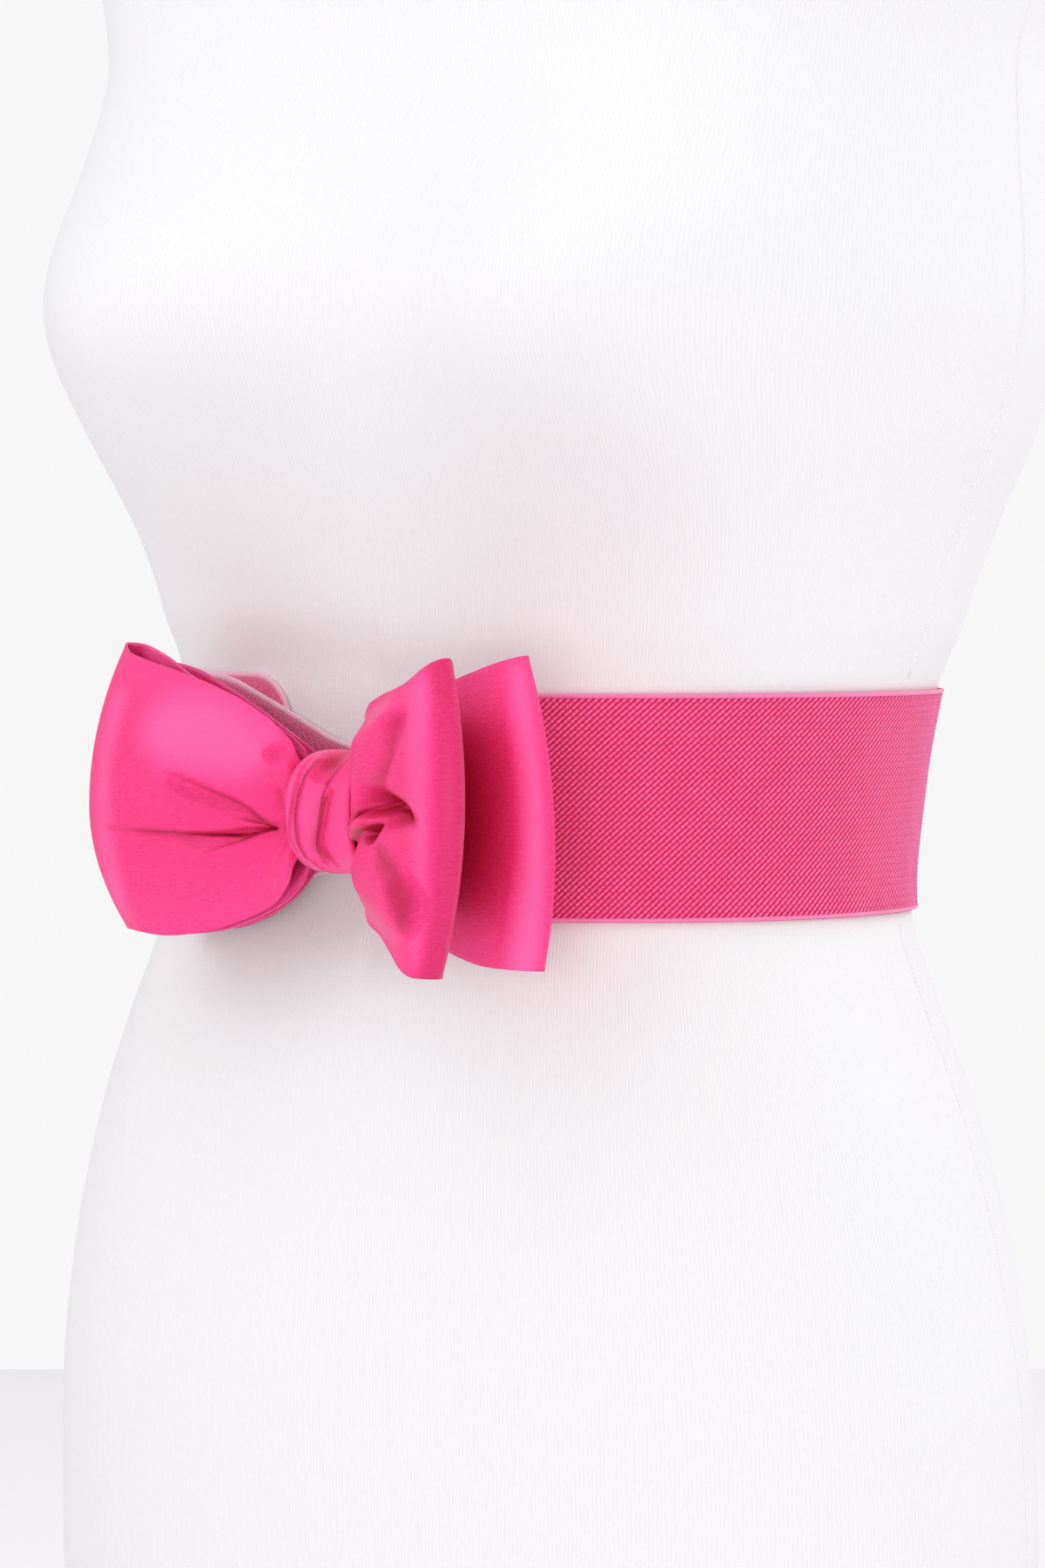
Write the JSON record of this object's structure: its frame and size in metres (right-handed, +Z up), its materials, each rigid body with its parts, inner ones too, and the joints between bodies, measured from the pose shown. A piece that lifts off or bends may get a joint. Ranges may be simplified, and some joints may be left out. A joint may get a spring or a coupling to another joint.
{
  "type": "elastic bow belt on a limbless dress form",
  "caption": "Wide elastic waist belt with a double satin bow sewn on its bound front tab, fastened round a white padded dress form without limbs that stands on its flat base.",
  "frame": {"origin": "middle of the form's flat base, where it stands", "axes": "+Z up the form; the form's and the belt's front faces -Y; the form's own left side is +X"},
  "size_m": [0.317, 0.2741, 0.735],
  "materials": {
    "form_cover": "fine white knitted cover, matt",
    "elastic": "woven elastic with slanting ribs, slight sheen",
    "tab_web": "woven web with a bound edge, matt",
    "satin": "satin with a fine cross thread, soft sheen"
  },
  "bodies": {
    "root": {"dress_form": "form_cover", "elastic_band": "elastic", "under_tab": "tab_web", "over_tab": "tab_web", "bow_front_loop_right": "satin", "bow_back_loop_right": "satin", "bow_front_loop_left": "satin", "bow_back_loop_left": "satin", "bow_knot": "satin"}
  },
  "joints": []
}
